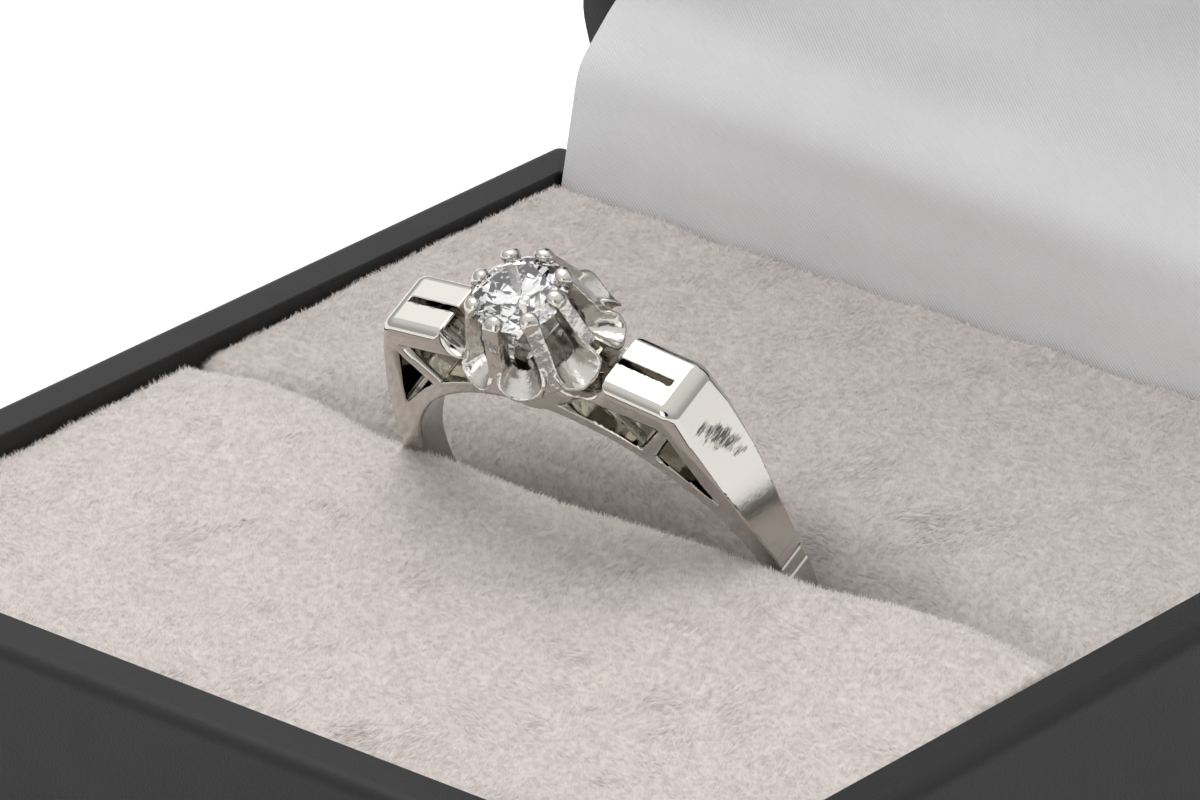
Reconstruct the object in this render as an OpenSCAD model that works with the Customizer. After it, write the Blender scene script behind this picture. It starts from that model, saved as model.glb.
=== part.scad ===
/* [Box] */
// Outside width and depth of the box
box_w = 50.8; // [50:0.2:52]
// Height of the base, from its underside to its rim
base_h = 24; // [22:1:28]
// Height of the lid, from its rim to its top
lid_h = 18.6; // [18.2:0.2:22]
// Thickness of the side walls
wall_t = 2.3; // [2.2:0.1:2.4]
// Thickness of the floor and of the lid's top panel
panel_t = 2; // [1.6:0.1:2.4]
// Corner radius of the box, seen from above
corner_r = 1.4; // [1:0.1:2]
// Gap between the rims of base and lid when the box is shut
rim_gap = 0.2; // [0.1:0.05:0.3]

/* [Hinge] */
// Angle through which the lid opens
lid_open = 95; // [90:1:100]
// Radius of the hinge barrels
barrel_r = 1.2; // [1.1:0.05:1.3]
// Radius of the hinge pin
pin_r = 0.55; // [0.5:0.05:0.6]
// Length of one outer barrel, which belongs to the base
base_barrel_l = 9; // [7:0.5:10]
// Length of the middle barrel, which belongs to the lid
lid_barrel_l = 14; // [12:0.5:16]
// Length of the slanted relief at the lid's hinge corners, along the rim
relief_l = 6.6; // [5:0.2:8]
// Height of that relief on the back wall
relief_h = 2.4; // [1.5:0.1:3]

/* [Pad] */
// Height of the pad's top below the rim
pad_drop = 0.6; // [0.3:0.1:1]
// Radius of the pad's rolled edges beside the slot
pad_roll_r = 2.4; // [1.5:0.1:3]
// Width of the closed part of the slot
slit_w = 0.3; // [0.2:0.05:0.5]
// Clearance round the ring in the slot
pocket_gap = 0.15; // [0.1:0.05:0.25]

/* [Lining] */
// Thickness of the satin lining
lining_t = 1; // [0.8:0.1:1.2]
// Distance from the lid's back wall to the lining's ramp, at the rim
ramp_foot = 3.4; // [2:0.2:5]
// Distance from the lid's back wall to the ramp's end on the top panel
ramp_rise = 15; // [12:0.5:17]

/* [Ring] */
// Radius of the finger hole
finger_r = 8.45; // [8.35:0.05:8.6]
// Thickness of the plain shank at the sides
shank_t = 1.1; // [1:0.05:1.3]
// Half width of the ring at the shoulders
shoulder_hw = 1.55; // [1.4:0.05:1.6]
// Half width of the plain shank
shank_hw = 0.75; // [0.7:0.05:0.9]
// Thickness of the inner band under the shoulders and the setting
band_t = 0.65; // [0.6:0.05:0.7]
// Width of the slot in each shoulder's top plate
plate_slot_w = 0.28; // [0.2:0.02:0.36]
// Crown of the top plates, middle over long edges
plate_crown = 0.35; // [0.2:0.05:0.45]
// Turn of the ring about the vertical, in its slot
ring_yaw = 3.3; // [0:0.1:4]
// Lean of the ring's head towards the front
ring_lean = 25.9; // [22:0.1:28]
// Sideways roll of the ring
ring_roll = 1.5; // [0:0.1:2]

/* [Setting] */
// Number of claws
claws = 8; // [8:1:8]
// Width of one claw
claw_w = 0.52; // [0.46:0.02:0.58]
// Radius of a claw's rounded tip
tip_r = 0.34; // [0.3:0.01:0.38]

/* [Stone] */
// Diameter of the round brilliant stone
stone_d = 3.9; // [3.8:0.05:4]
// Table width over stone diameter
table_ratio = 0.57; // [0.53:0.01:0.6]
// Slope of the crown's main facets
crown_deg = 34.5; // [33:0.5:36]
// Slope of the pavilion's main facets
pavilion_deg = 41; // [40:0.25:42]

/* [Hidden] */
$fn = 48;

// Half of the box inside its walls, and the clearance of the pads and linings in it
inner_half = box_w / 2 - wall_t;
soft_gap = 0.2;
soft_half = inner_half - soft_gap;
apron_y = inner_half - 0.1 - lining_t;
pad_top = base_h - pad_drop;

// The hinge axis lies at the rim, let into the back walls' outer face
hinge_y = box_w / 2 + 0.6;
hinge_z = base_h;
barrel_gap = 0.2;
notch_r = barrel_r + barrel_gap;
base_barrel_x = lid_barrel_l / 2 + barrel_gap + base_barrel_l / 2;
pin_l = lid_barrel_l + 2 * (barrel_gap + base_barrel_l);
bore_r = pin_r + 0.05;

// Where the ring sits: the centre of its finger hole
ring_pos = [0, -0.6, base_h - 0.8];
shank_r = finger_r + shank_t;
band_r = finger_r + band_t;

// Front view of a shoulder: plate's inner end, sharp corner, end of the taper on the shank
plate_in = [4.0, 10.78 + plate_crown];
corner = [7.05, 10.28 + plate_crown];
taper_end = [9.24, 2.6];
bow_r = 55;
taper_start_z = 8.8;
taper_end_z = 1.9;
head_shift = -0.1;
slot_in_x = 2.9;
slot_out_x = 6.4;
crown_r = (shoulder_hw * shoulder_hw + plate_crown * plate_crown) / (2 * plate_crown);

// Heights and radii of the setting, from the finger hole's centre
tip_pos = [1.96, 13.66];
claw_top = [2.25, 13.4];
claw_foot = [3.2, 11.25];
rim_pos = [3.5, 10.95];
belly_pos = [3.3, 10.6];
foot_z = 8.7;
foot_r = 1.7;
claw_end_z = 13.62;
valley_z = 10.15;
step = 360 / claws;
bay_axis_z = 11.65;
cup_hole_r = 1.25;

// The stone's girdle lies just under the claws' tips
stone_r = stone_d / 2;
girdle_z = 13.35;
girdle_t = 0.08;
seat_gap = 0.02;
table_r = stone_r * table_ratio;
crown_h = (stone_r - table_r) * tan(crown_deg);

// Centre of the circle of radius r through a and b that lies to the left of the way from a to b
function arc_centre(a, b, r) =
    let (m = (a + b) / 2, d = b - a, l = norm(d), n = [-d[1], d[0]] / l)
    m + n * sqrt(r * r - l * l / 4);

// A plate in the XY plane with round corners
module rounded_square(w, r) {
    square([w, w - 2 * r], center = true);
    square([w - 2 * r, w], center = true);
    for (x = [-1, 1], y = [-1, 1])
        translate([x * (w / 2 - r), y * (w / 2 - r)]) circle(r);
}

// A square tray that is open at the top
module tray(h) {
    difference() {
        linear_extrude(h) rounded_square(box_w, corner_r);
        translate([-inner_half, -inner_half, panel_t])
            cube([2 * inner_half, 2 * inner_half, h]);
    }
}

// A cylinder along X, centred at x on the hinge axis
module on_hinge(x, r, l) {
    translate([x, hinge_y, hinge_z]) rotate([0, 90, 0]) cylinder(h = l, r = r, center = true);
}

// A barrel and the web that ties it to the back wall; side is -1 below the rim and 1 above
module barrel(x, l, side) {
    on_hinge(x, barrel_r, l);
    translate([x - l / 2, hinge_y - 1.6, hinge_z + (side > 0 ? 0 : -3.4)])
        cube([l, 1.6, 3.4]);
}

// The profile in the YZ plane, drawn as (y, z), extruded along X over w
module along_x(w) {
    rotate([90, 0, 90]) linear_extrude(w, center = true) children();
}

// The profile in the XZ plane, drawn as (x, z), extruded along Y over w
module along_y(w) {
    rotate([90, 0, 0]) linear_extrude(w, center = true) children();
}

// The lid turned from its shut place to its open one
module opened() {
    translate([0, hinge_y, hinge_z]) rotate([-lid_open, 0, 0])
        translate([0, -hinge_y, -hinge_z]) children();
}

// The ring's own frame: X to its right shoulder, Y along the finger, Z to its head
module in_ring_frame() {
    translate(ring_pos) rotate([0, 0, ring_yaw]) rotate([ring_lean, 0, 0])
        rotate([0, ring_roll, 0]) children();
}

module base_shell() {
    color([0.2, 0.2, 0.21]) difference() {
        union() {
            difference() {
                tray(base_h);
                on_hinge(0, notch_r, lid_barrel_l + 2 * barrel_gap);
            }
            for (s = [-1, 1]) barrel(s * base_barrel_x, base_barrel_l, -1);
        }
        on_hinge(0, bore_r, pin_l + 2);
    }
}

// Where the slot's slanted middle plane lies at the height z
function slot_y(z) = ring_pos[1] + tan(ring_lean) * (ring_pos[2] - z);

// The pad's section in (y, z) on one side of the slot, with a rolled edge
module pad_section(side) {
    foot_z = panel_t + soft_gap;
    edge_y = slot_y(pad_top - pad_roll_r) + side * slit_w / 2;
    roll_y = slot_y(pad_top) + side * (slit_w / 2 + pad_roll_r);
    far_y = side < 0 ? -soft_half : apron_y - soft_gap / 2;
    polygon(concat([[far_y, foot_z], [slot_y(foot_z) + side * slit_w / 2, foot_z],
                    [edge_y, pad_top - pad_roll_r]],
        [for (a = [10 : 10 : 90])
            [roll_y - side * pad_roll_r * cos(a), pad_top - pad_roll_r * (1 - sin(a))]],
        [[far_y, pad_top]]));
}

// The room that the ring takes in the slot
module ring_room() {
    in_ring_frame() rotate([90, 0, 0]) rotate_extrude($fn = 96)
        translate([finger_r - pocket_gap, -shank_hw - pocket_gap])
            square([shank_t + 0.1 + 2 * pocket_gap, 2 * (shank_hw + pocket_gap)]);
}

module pad_front() {
    color([0.78, 0.73, 0.72]) difference() {
        along_x(2 * soft_half) pad_section(-1);
        ring_room();
    }
}

module pad_back() {
    color([0.78, 0.73, 0.72]) difference() {
        along_x(2 * soft_half) pad_section(1);
        ring_room();
    }
}

// The satin's fixed end, tucked in behind the pad
module lining_apron() {
    color([0.82, 0.82, 0.84]) translate([-soft_half, apron_y, base_h - 8])
        cube([2 * soft_half, lining_t, 8]);
}

module hinge_pin() {
    color([0.7, 0.7, 0.72]) on_hinge(0, pin_r, pin_l);
}

// Relief at the hinge ends of the lid's side walls, in the shut place
module corner_relief(side) {
    back = box_w / 2 + 1;
    low = hinge_z - 1;
    slope = relief_h / relief_l;
    translate([side * (box_w / 2 - wall_t / 2), 0, 0]) along_x(wall_t + 2)
        polygon([[box_w / 2 - relief_l, low], [back, low], [back, hinge_z + relief_h + slope],
                 [box_w / 2 - relief_l, hinge_z]]);
}

module lid_shell() {
    color([0.2, 0.2, 0.21]) opened() difference() {
        union() {
            difference() {
                translate([0, 0, base_h + lid_h]) mirror([0, 0, 1])
                    tray(lid_h - rim_gap);
                for (s = [-1, 1]) {
                    on_hinge(s * base_barrel_x, notch_r, base_barrel_l + 2 * barrel_gap);
                    corner_relief(s);
                }
            }
            barrel(0, lid_barrel_l, 1);
        }
        on_hinge(0, bore_r, pin_l + 2);
    }
}

// The lining's section in (y, z), shut: ramp over the back wall, flat top, front wall
module lining_section() {
    roof = base_h + lid_h - panel_t - soft_gap;
    foot = base_h + 1.2;
    back = inner_half - soft_gap;
    polygon([[-back, foot], [-back, roof], [back, roof], [back, foot],
             [back - ramp_foot, foot], [back - ramp_rise, roof - lining_t],
             [-back + lining_t, roof - lining_t], [-back + lining_t, foot]]);
}

module lid_lining() {
    color([0.82, 0.82, 0.84]) opened() along_x(2 * soft_half) lining_section();
}

// Front view of one shoulder, solid, with its bowed outer face
module shoulder_outline() {
    bow = arc_centre(taper_end, corner, bow_r);
    out = (corner - plate_in) / norm(corner - plate_in);
    intersection() {
        translate(bow) circle(bow_r, $fn = 180);
        polygon([[0, taper_end[1]], [0, band_r], [2.2, band_r], [2.7, 9.9], [3.0, 10.35],
                 plate_in, corner + 3 * out, [taper_end[0] + 3, taper_end[1]]]);
    }
}

// Openings pierced from front to back, inner one under the plate and outer one on the band
module shoulder_windows() {
    difference() {
        union() {
            polygon([[1.2, 8.6], [2.6, 9.72], [6.15, 9.32], [4.75, 7.5]]);
            polygon([[6.62, 8.86], [7.72, 5.1], [5.5, 7.4]]);
        }
        circle(band_r, $fn = 180);
    }
}

// Everything above the crowned surface of one top plate
module crown_waste() {
    d = (corner - plate_in) / norm(corner - plate_in);
    slope = atan2(-d[1], d[0]);
    translate([plate_in[0], 0, plate_in[1]]) rotate([0, slope, 0]) difference() {
        translate([-3, -4, -1.5]) cube([8, 8, 4]);
        translate([-5, 0, -crown_r]) rotate([0, 90, 0]) cylinder(h = 12, r = crown_r, $fn = 96);
    }
}

// Shank, inner band and both shoulders
module band() {
    low = shank_r + 1;
    difference() {
        intersection() {
            along_y(2 * shoulder_hw) difference() {
                union() {
                    circle(band_r, $fn = 180);
                    intersection() {
                        circle(shank_r, $fn = 180);
                        translate([-20, -20]) square([40, 20 + taper_end[1]]);
                    }
                    for (s = [0, 1]) mirror([s, 0]) difference() {
                        shoulder_outline();
                        shoulder_windows();
                    }
                }
                circle(finger_r, $fn = 180);
            }
            along_x(40) polygon([[-shoulder_hw, 14], [-shoulder_hw, taper_start_z],
                                 [-shank_hw, taper_end_z], [-shank_hw, -low], [shank_hw, -low],
                                 [shank_hw, taper_end_z], [shoulder_hw, taper_start_z],
                                 [shoulder_hw, 14]]);
        }
        for (s = [0, 1]) mirror([s, 0, 0]) {
            crown_waste();
            translate([slot_in_x, -plate_slot_w / 2, 9.25])
                cube([slot_out_x - slot_in_x, plate_slot_w, 3]);
        }
    }
}

// Outer form of the setting, turned about its axis: foot, petals' rim, claws' faces
module setting_form() {
    rotate_extrude($fn = 96) polygon([[0, foot_z], [foot_r, foot_z], [foot_r, 9.4], [2.6, 9.95],
        belly_pos, rim_pos, claw_foot, claw_top,
        [tip_pos[0] + 0.1, claw_end_z], [0, claw_end_z]]);
}

// Half width of the gap between two claws at the distance r from the axis
function bay_half(r) = r * tan(step / 2) - claw_w / 2 / cos(step / 2);

// The gap between two claws, with the petal's round hollow as its floor
module bay() {
    near = 0.9;
    far = 4.2;
    trim = 0.03;
    translate([near, 0, bay_axis_z]) rotate([0, 90, 0])
        cylinder(h = far - near, r1 = bay_half(near), r2 = bay_half(far));
    translate([0, 0, bay_axis_z]) linear_extrude(4)
        polygon([[near, trim - bay_half(near)], [far, trim - bay_half(far)],
                 [far, bay_half(far) - trim], [near, bay_half(near) - trim]]);
}

// The valley between two petals, under a claw
module valley() {
    translate([1.9, 0, valley_z]) rotate([0, 90, 0]) cylinder(h = 2.2, r1 = 0.12, r2 = 0.75);
}

// The open middle of the setting and the seat of the stone's girdle
module cup_room() {
    rotate_extrude($fn = 96) polygon([[0, foot_z - 1], [cup_hole_r, foot_z - 1],
        [cup_hole_r, 10.6], [1.74, 12.7], [1.74, girdle_z - girdle_t - 0.26],
        [stone_r + seat_gap, girdle_z - girdle_t - seat_gap], [stone_r + seat_gap, girdle_z],
        [table_r, girdle_z + crown_h + seat_gap], [table_r, 15], [0, 15]]);
}

module setting() {
    difference() {
        union() {
            difference() {
                setting_form();
                for (k = [0 : claws - 1]) rotate((k + 0.5) * step) bay();
                for (k = [0 : claws - 1]) rotate(k * step) valley();
            }
            for (k = [0 : claws - 1]) rotate(k * step) translate([tip_pos[0], 0, tip_pos[1]])
                sphere(tip_r, $fn = 24);
        }
        cup_room();
    }
}

module ring_mount() {
    color([0.86, 0.86, 0.84]) in_ring_frame() {
        difference() {
            union() {
                band();
                translate([head_shift, 0, 0]) setting();
            }
            along_y(8) circle(finger_r, $fn = 180);
            translate([head_shift, 0, foot_z - 2]) cylinder(h = 3.5, r = cup_hole_r);
        }
    }
}

// A ring of count points at radius r and height z, the first one turned by start
function ring_points(count, start, r, z) =
    [for (k = [0 : count - 1]) let (a = start + k * 360 / count) [r * cos(a), r * sin(a), z]];

// Round brilliant: table, star, main and girdle facets above, main and half facets below
module stone_body() {
    n = 8;
    half = 180 / n;
    star_r = (table_r + stone_r) * 0.51;
    star_z = girdle_z + crown_h * 0.52;
    low_r = stone_r * 0.27;
    low_z = girdle_z - girdle_t - (stone_r - low_r) * tan(pavilion_deg) - 0.02;
    culet_z = girdle_z - girdle_t - stone_r * tan(pavilion_deg);
    pts = concat(ring_points(n, 0, table_r, girdle_z + crown_h),
                 ring_points(n, half, star_r, star_z),
                 ring_points(2 * n, 0, stone_r, girdle_z),
                 ring_points(2 * n, 0, stone_r, girdle_z - girdle_t),
                 ring_points(n, half, low_r, low_z), [[0, 0, culet_z]]);
    s0 = n;
    g0 = 2 * n;
    h0 = 4 * n;
    l0 = 6 * n;
    c0 = 7 * n;
    faces = concat([[for (k = [0 : n - 1]) n - 1 - k]],
        [for (k = [0 : n - 1]) [k, (k + 1) % n, s0 + k]],
        [for (k = [0 : n - 1]) each let (m = (k + n - 1) % n) [
            [k, s0 + k, g0 + 2 * k], [k, g0 + 2 * k, s0 + m],
            [s0 + k, g0 + 2 * k + 1, g0 + 2 * k],
            [s0 + k, g0 + (2 * k + 2) % (2 * n), g0 + 2 * k + 1]]],
        [for (k = [0 : 2 * n - 1]) let (j = (k + 1) % (2 * n)) [g0 + k, g0 + j, h0 + j, h0 + k]],
        [for (k = [0 : n - 1]) each let (m = (k + n - 1) % n) [
            [h0 + 2 * k, h0 + 2 * k + 1, l0 + k], [h0 + 2 * k + 1, h0 + (2 * k + 2) % (2 * n), l0 + k],
            [h0 + 2 * k, l0 + k, c0], [h0 + 2 * k, c0, l0 + m]]]);
    polyhedron(pts, faces);
}

module stone() {
    color([0.95, 0.97, 1]) in_ring_frame() translate([head_shift, 0, 0]) stone_body();
}

base_shell();
pad_front();
pad_back();
lining_apron();
hinge_pin();
lid_shell();
lid_lining();
ring_mount();
stone();
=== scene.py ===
import math

import bmesh
import bpy
import numpy as np
from mathutils import Matrix, Vector


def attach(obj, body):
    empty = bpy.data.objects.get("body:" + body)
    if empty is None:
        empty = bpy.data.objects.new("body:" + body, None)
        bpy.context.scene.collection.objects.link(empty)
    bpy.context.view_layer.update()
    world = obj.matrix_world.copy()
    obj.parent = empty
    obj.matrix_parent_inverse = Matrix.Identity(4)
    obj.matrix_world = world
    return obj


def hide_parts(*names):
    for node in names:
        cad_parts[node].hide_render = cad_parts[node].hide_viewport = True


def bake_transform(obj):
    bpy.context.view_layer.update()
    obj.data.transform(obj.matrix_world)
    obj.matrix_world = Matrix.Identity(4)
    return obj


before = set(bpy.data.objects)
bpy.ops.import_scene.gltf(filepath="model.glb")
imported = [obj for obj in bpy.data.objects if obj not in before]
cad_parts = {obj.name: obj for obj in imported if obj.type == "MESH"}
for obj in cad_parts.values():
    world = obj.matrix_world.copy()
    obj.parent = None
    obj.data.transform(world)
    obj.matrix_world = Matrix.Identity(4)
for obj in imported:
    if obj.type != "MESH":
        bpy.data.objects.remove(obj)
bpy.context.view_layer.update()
MM = 0.001

# The box in mm, as in the CAD source but for CORNER_R, which is sharper here
BOX_W, BASE_H, LID_H = 50.8, 24.0, 18.6
WALL_T, PANEL_T, CORNER_R = 2.3, 2.0, 0.6
# How far the shut lid's rim stays above the base's
RIM_GAP = 0.2
LID_OPEN = 95.0
HINGE_Y, HINGE_Z = BOX_W / 2 + 0.6, BASE_H
INNER = BOX_W / 2 - WALL_T

# The ring's own frame, in mm: X to the right shoulder, Y along the finger, Z to the head
RING_POS = Vector((0, -0.6, BASE_H - 0.8))
RING_YAW, RING_LEAN, RING_ROLL = 3.3, 25.9, 1.5
RING_TURN = (
    Matrix.Rotation(math.radians(RING_YAW), 3, "Z")
    @ Matrix.Rotation(math.radians(RING_LEAN), 3, "X")
    @ Matrix.Rotation(math.radians(RING_ROLL), 3, "Y")
)
RING_PLACE = Matrix.Translation(RING_POS * MM) @ RING_TURN.to_4x4()
FINGER_R, SHANK_R, BAND_R = 8.45, 9.55, 9.1
HEAD_X = -0.1
# The box of space that the ring's mesh is looked for in, and the spacing of its grid
RING_LOW, RING_HIGH, RING_GRID = (-10.1, -4.4, -9.9), (10.1, 4.4, 14.4), 0.093


def round_max(a, b, r):
    """Intersection of two solids whose shared edge gets the radius r."""
    return np.minimum(np.maximum(a, b), -r) + np.hypot(
        np.maximum(a + r, 0), np.maximum(b + r, 0)
    )


def round_min(a, b, r):
    """Union of two solids with a fillet of radius r between them."""
    return -round_max(-a, -b, r)


def ramp(x, x0, x1, y0, y1):
    """y0 before x0, y1 after x1, and a straight line between them."""
    return y0 + (y1 - y0) * np.clip((x - x0) / (x1 - x0), 0, 1)


def half_plane(u, v, a, b):
    """Distance from the line a to b in the plane (u, v), positive on its right side."""
    length = math.hypot(b[0] - a[0], b[1] - a[1])
    return ((u - a[0]) * (b[1] - a[1]) - (v - a[1]) * (b[0] - a[0])) / length


def convex(u, v, points, r):
    """Distance to the convex outline through the points, anticlockwise, with rounded corners."""
    d = None
    for a, b in zip(points, points[1:] + points[:1]):
        h = half_plane(u, v, a, b)
        d = h if d is None else round_max(d, h, r)
    return d


def bow_centre(a, b, r):
    """Centre of the circle of radius r through a and b, on the left of the way from a to b."""
    mx, mz = (a[0] + b[0]) / 2, (a[1] + b[1]) / 2
    dx, dz = b[0] - a[0], b[1] - a[1]
    chord = math.hypot(dx, dz)
    away = math.sqrt(r * r - chord * chord / 4)
    return mx - dz / chord * away, mz + dx / chord * away


# Per side, right then left: plate's inner end, corner, end of the bowed outer face, bow radius
SHOULDERS = [
    dict(plate_in=(4.0, 11.13), corner=(7.12, 10.6), foot=(9.24, 2.6), bow=90.0),
    dict(plate_in=(4.0, 10.95), corner=(6.9, 10.62), foot=(9.24, 2.6), bow=200.0),
]
WINDOW_IN = [(1.2, 8.6), (4.75, 7.5), (6.15, 9.32), (2.6, 9.72)]
WINDOW_OUT = [(5.5, 7.4), (7.72, 5.1), (6.62, 8.86)]
# Heights where the bowed outer face ends below, and where the plain shank ends above
FACE_LOW, SHANK_TOP = 2.2, 3.2
# The rounded step from each plate down to the head: its radius, and its centre from plate_in
COVE_R, COVE_X, COVE_Z = 1.55, -1.47, 0.5
# Half the ring's width: the heights it changes between, on the shank, at the plates
HALF_WIDTH = (1.9, 8.8, 0.75, 1.55)
# Radius of the edges: the heights it changes between, on the shank, at the plates
SHARP = 0.07
EDGE_RADIUS = (6.5, 10.2, SHARP, 0.55)
# The slot in each plate: half its width, where it starts and ends, the height of its floor
SLOT_HALF, SLOT_IN, SLOT_OUT, SLOT_FLOOR = 0.14, 2.0, 6.4, 9.3


def shoulder_face(x, z, s):
    """The solid behind a shoulder's top plate, its bowed outer face and the cove to the head."""
    top = half_plane(x, z, s["plate_in"], s["corner"]) * -1
    cx, cz = bow_centre(s["foot"], s["corner"], s["bow"])
    outer = np.hypot(x - cx, z - cz) - s["bow"]
    flat = round_max(top, outer, 0.5)
    flat = np.maximum(flat, FACE_LOW - z)
    px, pz = s["plate_in"]
    cove = COVE_R - np.hypot(x - (px + COVE_X), z - (pz + COVE_Z))
    return round_max(flat, cove, 0.06)


def shoulder_side(x, y, z, s):
    """One half of the band: ring, bowed outer face, top plate and windows, for x above 0."""
    r = np.hypot(x, z)
    shank = np.maximum(r - SHANK_R, z - SHANK_TOP)
    window = np.minimum(convex(x, z, WINDOW_IN, 0.1), convex(x, z, WINDOW_OUT, 0.06))
    window = round_max(window, BAND_R - r, 0.06)
    body = np.maximum(shoulder_face(x, z, s), -window)
    d = round_min(np.minimum(r - BAND_R, shank), body, 0.05)
    d = round_max(d, FINGER_R - r, 0.06)
    edge = np.where(r < BAND_R + 0.05, SHARP, ramp(z, *EDGE_RADIUS))
    d = round_max(d, np.abs(y) - ramp(z, *HALF_WIDTH), edge)
    slot = np.maximum(
        np.maximum(np.abs(y) - SLOT_HALF, x - SLOT_OUT),
        np.maximum(SLOT_IN - x, SLOT_FLOOR - z),
    )
    return round_max(d, -slot, 0.03)


# Claws: angle, radius and height of the tip, radius of the foot
CLAWS = [
    (3, 1.88, 13.7, 2.9), (40, 1.94, 13.7, 3.0), (88, 1.91, 13.72, 3.3), (132.5, 1.91, 13.72, 3.1),
    (181, 1.84, 13.7, 2.9), (228, 1.91, 13.68, 2.78), (274, 2.04, 13.66, 3.0), (318.5, 2.0, 13.68, 3.1),
]
# The petal after each claw: reach of its lip, height of the centre of its rounded flute
PETALS = [
    (3.6, 11.5), (3.5, 11.7), (3.45, 11.6), (3.3, 11.5),
    (3.0, 11.5), (3.12, 11.6), (3.28, 11.8), (3.36, 11.5),
]
CLAW_HALF, PETAL_T = 0.33, 0.16
# Each claw is a fin between two flutes, with a rounded tip: how near the axis petals and fins start
PETAL_ROOT, FIN_ROOT = 0.7, 0.3
# Half a fin's width, and the heights of its top and of the ends of its outer edge
FIN_HALF, FIN_TOP, FIN_FOOT_Z, FIN_TIP_Z = 0.6, 13.62, 11.15, 13.5
# A fin's lower edge: the radii it rises between, its height at each
FIN_LOW = (1.4, 3.0, 9.9, 10.75)
# Half sizes of a claw's rounded tip: along the radius, across it, in height
TIP = (0.33, 0.4, 0.27)
# How far the fin's outer edge is outside the tip, and how much the tip leans in as it rises
TIP_OUT, TIP_LEAN = 0.24, 0.35
# The setting's foot: its top and bottom, and the heights and radii of its flare
FOOT_TOP, FOOT_LOW, FOOT_FLARE = 10.6, 8.5, (9.3, 10.3, 1.7, 2.3)
# The hollow under the stone and its seat: heights, then radii
ROOM = (
    [9.2, 9.8, 10.6, 11.2, 12.0, 12.7, 13.05, 13.27, 13.35, 14.2],
    [1.25, 1.7, 2.0, 2.1, 2.0, 1.8, 1.72, 1.97, 1.97, 0.75],
)
CLAW_ANGLES = [math.radians(claw[0]) for claw in CLAWS]


def petals(x, y, z):
    """The flutes between the claws, and the thin shells round their lower ends."""
    flutes = np.full_like(x, 1e3)
    shells = np.full_like(x, 1e3)
    ends = CLAW_ANGLES[1:] + [CLAW_ANGLES[0] + 2 * math.pi]
    for a, b, (reach, middle) in zip(CLAW_ANGLES, ends, PETALS):
        mid, half = (a + b) / 2, (b - a) / 2
        u = x * math.cos(mid) + y * math.sin(mid)
        v = -x * math.sin(mid) + y * math.cos(mid)
        width = u * math.tan(half) - CLAW_HALF / math.cos(half)
        below = np.hypot(v, z - middle) - width
        side = np.abs(v) - width
        flute = np.where(z < middle, below, side) * math.cos(half)
        flutes = np.minimum(flutes, np.maximum(flute, PETAL_ROOT - u))
        rim = u + 0.08 * v * v - reach
        outline = round_max(rim, z - middle, 0.85)
        shell = round_max(below * math.cos(half) - PETAL_T, outline, 0.05)
        shells = np.minimum(shells, np.maximum(shell, PETAL_ROOT - u))
    return flutes, shells


def claws(x, y, z):
    """The claws: the fins between the flutes, and the rounded tips that hold the stone."""
    fins = np.full_like(x, 1e3)
    tips = np.full_like(x, 1e3)
    for (_, tip_r, tip_z, foot_r), a in zip(CLAWS, CLAW_ANGLES):
        u = x * math.cos(a) + y * math.sin(a)
        v = -x * math.sin(a) + y * math.cos(a)
        outer = half_plane(u, z, (foot_r, FIN_FOOT_Z), (tip_r + TIP_OUT, FIN_TIP_Z))
        fin = round_max(np.abs(v) - FIN_HALF, outer, 0.05)
        fin = round_max(fin, ramp(u, *FIN_LOW) - z, 0.12)
        fin = np.maximum(fin, np.maximum(z - FIN_TOP, FIN_ROOT - u))
        fins = np.minimum(fins, fin)
        lean = (z - tip_z) * TIP_LEAN
        along = (u - tip_r + 0.05 + lean) / TIP[0]
        tip = np.sqrt(along ** 2 + (v / TIP[1]) ** 2 + ((z - tip_z) / TIP[2]) ** 2)
        tips = np.minimum(tips, (tip - 1) * 0.3)
    return fins, tips


def head(x, y, z):
    """The setting: petals as fluted shells, claws as fins with rounded tips, and a foot."""
    x = x - HEAD_X
    r = np.hypot(x, y)
    flutes, shells = petals(x, y, z)
    fins, tips = claws(x, y, z)
    wall = round_min(fins, shells, 0.12)
    foot = round_max(r - ramp(z, *FOOT_FLARE), z - FOOT_TOP, 0.1)
    foot = np.maximum(foot, FOOT_LOW - z)
    wall = round_min(wall, foot, 0.15)
    wall = round_max(wall, -flutes, 0.04)
    wall = round_min(wall, tips, 0.12)
    room = r - np.interp(z, *ROOM)
    return round_max(wall, -room, 0.03)


# Heights of the two lines engraved on the right of the shank, half their width, their depth
GROOVES = [1.62, 1.02]
GROOVE_HALF, GROOVE_DEEP = 0.06, 0.06
# The region of the setting: its radius, and its lowest height
HEAD_REACH, HEAD_LOW = 4.6, 8.0
# Unevenness of the hand-finished setting: its height and the size of its features
HEAD_ROUGH, HEAD_GRAIN = 0.008, 0.8


def ripple(p, size, seed):
    """Smooth noise in three dimensions, of about unit height, for hand-finished metal."""
    g = np.random.default_rng(seed)
    out = np.zeros(len(p))
    for _ in range(10):
        way = g.normal(size=3)
        way *= g.uniform(0.7, 1.4) * 2 * math.pi / (size * np.linalg.norm(way))
        out += np.sin(p @ way + g.uniform(0, 2 * math.pi))
    return out / math.sqrt(5)


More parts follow.
